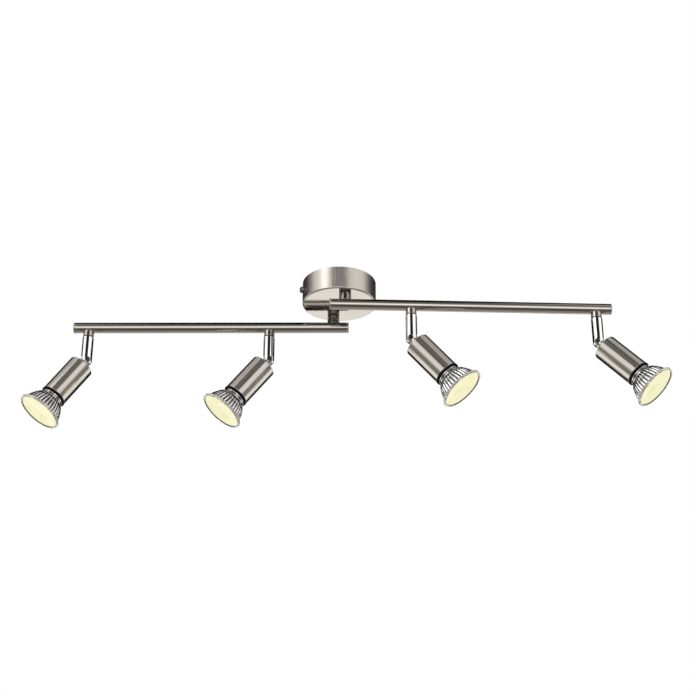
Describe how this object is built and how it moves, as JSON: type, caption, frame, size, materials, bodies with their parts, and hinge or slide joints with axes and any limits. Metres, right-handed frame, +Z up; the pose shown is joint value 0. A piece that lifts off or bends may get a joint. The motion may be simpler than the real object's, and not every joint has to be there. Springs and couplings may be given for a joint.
{
  "type": "ceiling spotlight bar",
  "caption": "Ceiling spotlight bar: a round canopy carries swivelling tube bars with swivel-and-tilt reflector lamp heads.",
  "frame": {"origin": "middle of the ceiling bracket's flat top face, on the ceiling, at the canopy's axis", "axes": "+Z up into the ceiling; X along the bars, with the right bar towards +X; the heads hang towards -Z"},
  "size_m": [0.6951, 0.1042, 0.1629],
  "materials": {
    "satin_nickel": "satin brushed nickel plate on steel, fine lengthwise brushing",
    "polished_chrome": "mirror-polished chrome plate",
    "zinc_steel": "bright zinc plate, slightly mottled",
    "black_plastic": "black heat-proof plastic, semi-gloss",
    "terminal_plastic": "natural white nylon",
    "lead_sheath": "pale silicone sheath",
    "steatite": "cream unglazed ceramic",
    "silvered_glass": "pressed glass, silvered inside, fluted outside",
    "lit_lens": "clear front glass lit warm white from behind"
  },
  "bodies": {
    "canopy": {"canopy_cup": "satin_nickel", "ceiling_bracket": "zinc_steel", "terminal_block": "terminal_plastic", "earth_screw": "zinc_steel", "canopy_screw": "satin_nickel", "canopy_peg": "zinc_steel", "left_lead": "lead_sheath", "right_lead": "lead_sheath"},
    "left_bar": {"left_stem": "satin_nickel", "left_stem_washer": "zinc_steel", "left_stem_nut": "zinc_steel", "left_bar_tube": "satin_nickel", "left_inner_end_plug": "satin_nickel", "left_outer_end_plug": "satin_nickel", "left_inner_stub": "satin_nickel", "left_outer_stub": "satin_nickel"},
    "left_inner_arm_body": {"left_inner_arm": "polished_chrome", "left_inner_pivot_screw": "zinc_steel"},
    "left_inner_head": {"left_inner_tongue": "polished_chrome", "left_inner_housing": "satin_nickel", "left_inner_bezel_ring": "black_plastic", "left_inner_lampholder": "steatite", "left_inner_bulb_base": "steatite", "left_inner_bulb_reflector": "silvered_glass", "left_inner_bulb_lens": "lit_lens"},
    "left_outer_arm_body": {"left_outer_arm": "polished_chrome", "left_outer_pivot_screw": "zinc_steel"},
    "left_outer_head": {"left_outer_tongue": "polished_chrome", "left_outer_housing": "satin_nickel", "left_outer_bezel_ring": "black_plastic", "left_outer_lampholder": "steatite", "left_outer_bulb_base": "steatite", "left_outer_bulb_reflector": "silvered_glass", "left_outer_bulb_lens": "lit_lens"},
    "right_bar": {"right_stem": "satin_nickel", "right_stem_washer": "zinc_steel", "right_stem_nut": "zinc_steel", "right_bar_tube": "satin_nickel", "right_inner_end_plug": "satin_nickel", "right_outer_end_plug": "satin_nickel", "right_inner_stub": "satin_nickel", "right_outer_stub": "satin_nickel"},
    "right_inner_arm_body": {"right_inner_arm": "polished_chrome", "right_inner_pivot_screw": "zinc_steel"},
    "right_inner_head": {"right_inner_tongue": "polished_chrome", "right_inner_housing": "satin_nickel", "right_inner_bezel_ring": "black_plastic", "right_inner_lampholder": "steatite", "right_inner_bulb_base": "steatite", "right_inner_bulb_reflector": "silvered_glass", "right_inner_bulb_lens": "lit_lens"},
    "right_outer_arm_body": {"right_outer_arm": "polished_chrome", "right_outer_pivot_screw": "zinc_steel"},
    "right_outer_head": {"right_outer_tongue": "polished_chrome", "right_outer_housing": "satin_nickel", "right_outer_bezel_ring": "black_plastic", "right_outer_lampholder": "steatite", "right_outer_bulb_base": "steatite", "right_outer_bulb_reflector": "silvered_glass", "right_outer_bulb_lens": "lit_lens"}
  },
  "joints": [
    {"name": "left_bar_swivel", "type": "hinge", "parent": "canopy", "child": "left_bar", "pos_m": [-0.00654, 0.02856, -0.04], "axis": [0, 0, 1], "range_deg": [-90, 60]},
    {"name": "left_inner_pan", "type": "hinge", "parent": "left_bar", "child": "left_inner_arm_body", "pos_m": [-0.07794, 0.02881, -0.0522], "axis": [0, 0, 1], "range_deg": [-241.8, 103.2]},
    {"name": "left_inner_tilt", "type": "hinge", "parent": "left_inner_arm_body", "child": "left_inner_head", "pos_m": [-0.07794, 0.02881, -0.0803], "axis": [-0.2011, 0.9796, 0], "range_deg": [-37.7, 52.3]},
    {"name": "left_outer_pan", "type": "hinge", "parent": "left_bar", "child": "left_outer_arm_body", "pos_m": [-0.27954, 0.02951, -0.0522], "axis": [0, 0, 1], "range_deg": [-250.8, 94.2]},
    {"name": "left_outer_tilt", "type": "hinge", "parent": "left_outer_arm_body", "child": "left_outer_head", "pos_m": [-0.27954, 0.02951, -0.0803], "axis": [-0.3518, 0.9361, 0], "range_deg": [-33.8, 56.2]},
    {"name": "right_bar_swivel", "type": "hinge", "parent": "canopy", "child": "right_bar", "pos_m": [0.00654, -0.02856, -0.04], "axis": [0, 0, 1], "range_deg": [-90, 60]},
    {"name": "right_inner_pan", "type": "hinge", "parent": "right_bar", "child": "right_inner_arm_body", "pos_m": [0.07788, -0.02569, -0.0522], "axis": [0, 0, 1], "range_deg": [-216.3, 128.7]},
    {"name": "right_inner_tilt", "type": "hinge", "parent": "right_inner_arm_body", "child": "right_inner_head", "pos_m": [0.07788, -0.02569, -0.0803], "axis": [-0.1977, -0.9803, 0], "range_deg": [-39.8, 50.2]},
    {"name": "right_outer_pan", "type": "hinge", "parent": "right_bar", "child": "right_outer_arm_body", "pos_m": [0.27932, -0.0176, -0.0522], "axis": [0, 0, 1], "range_deg": [-209.3, 135.7]},
    {"name": "right_outer_tilt", "type": "hinge", "parent": "right_outer_arm_body", "child": "right_outer_head", "pos_m": [0.27932, -0.0176, -0.0803], "axis": [-0.3156, -0.9489, 0], "range_deg": [-42.4, 47.6]}
  ]
}
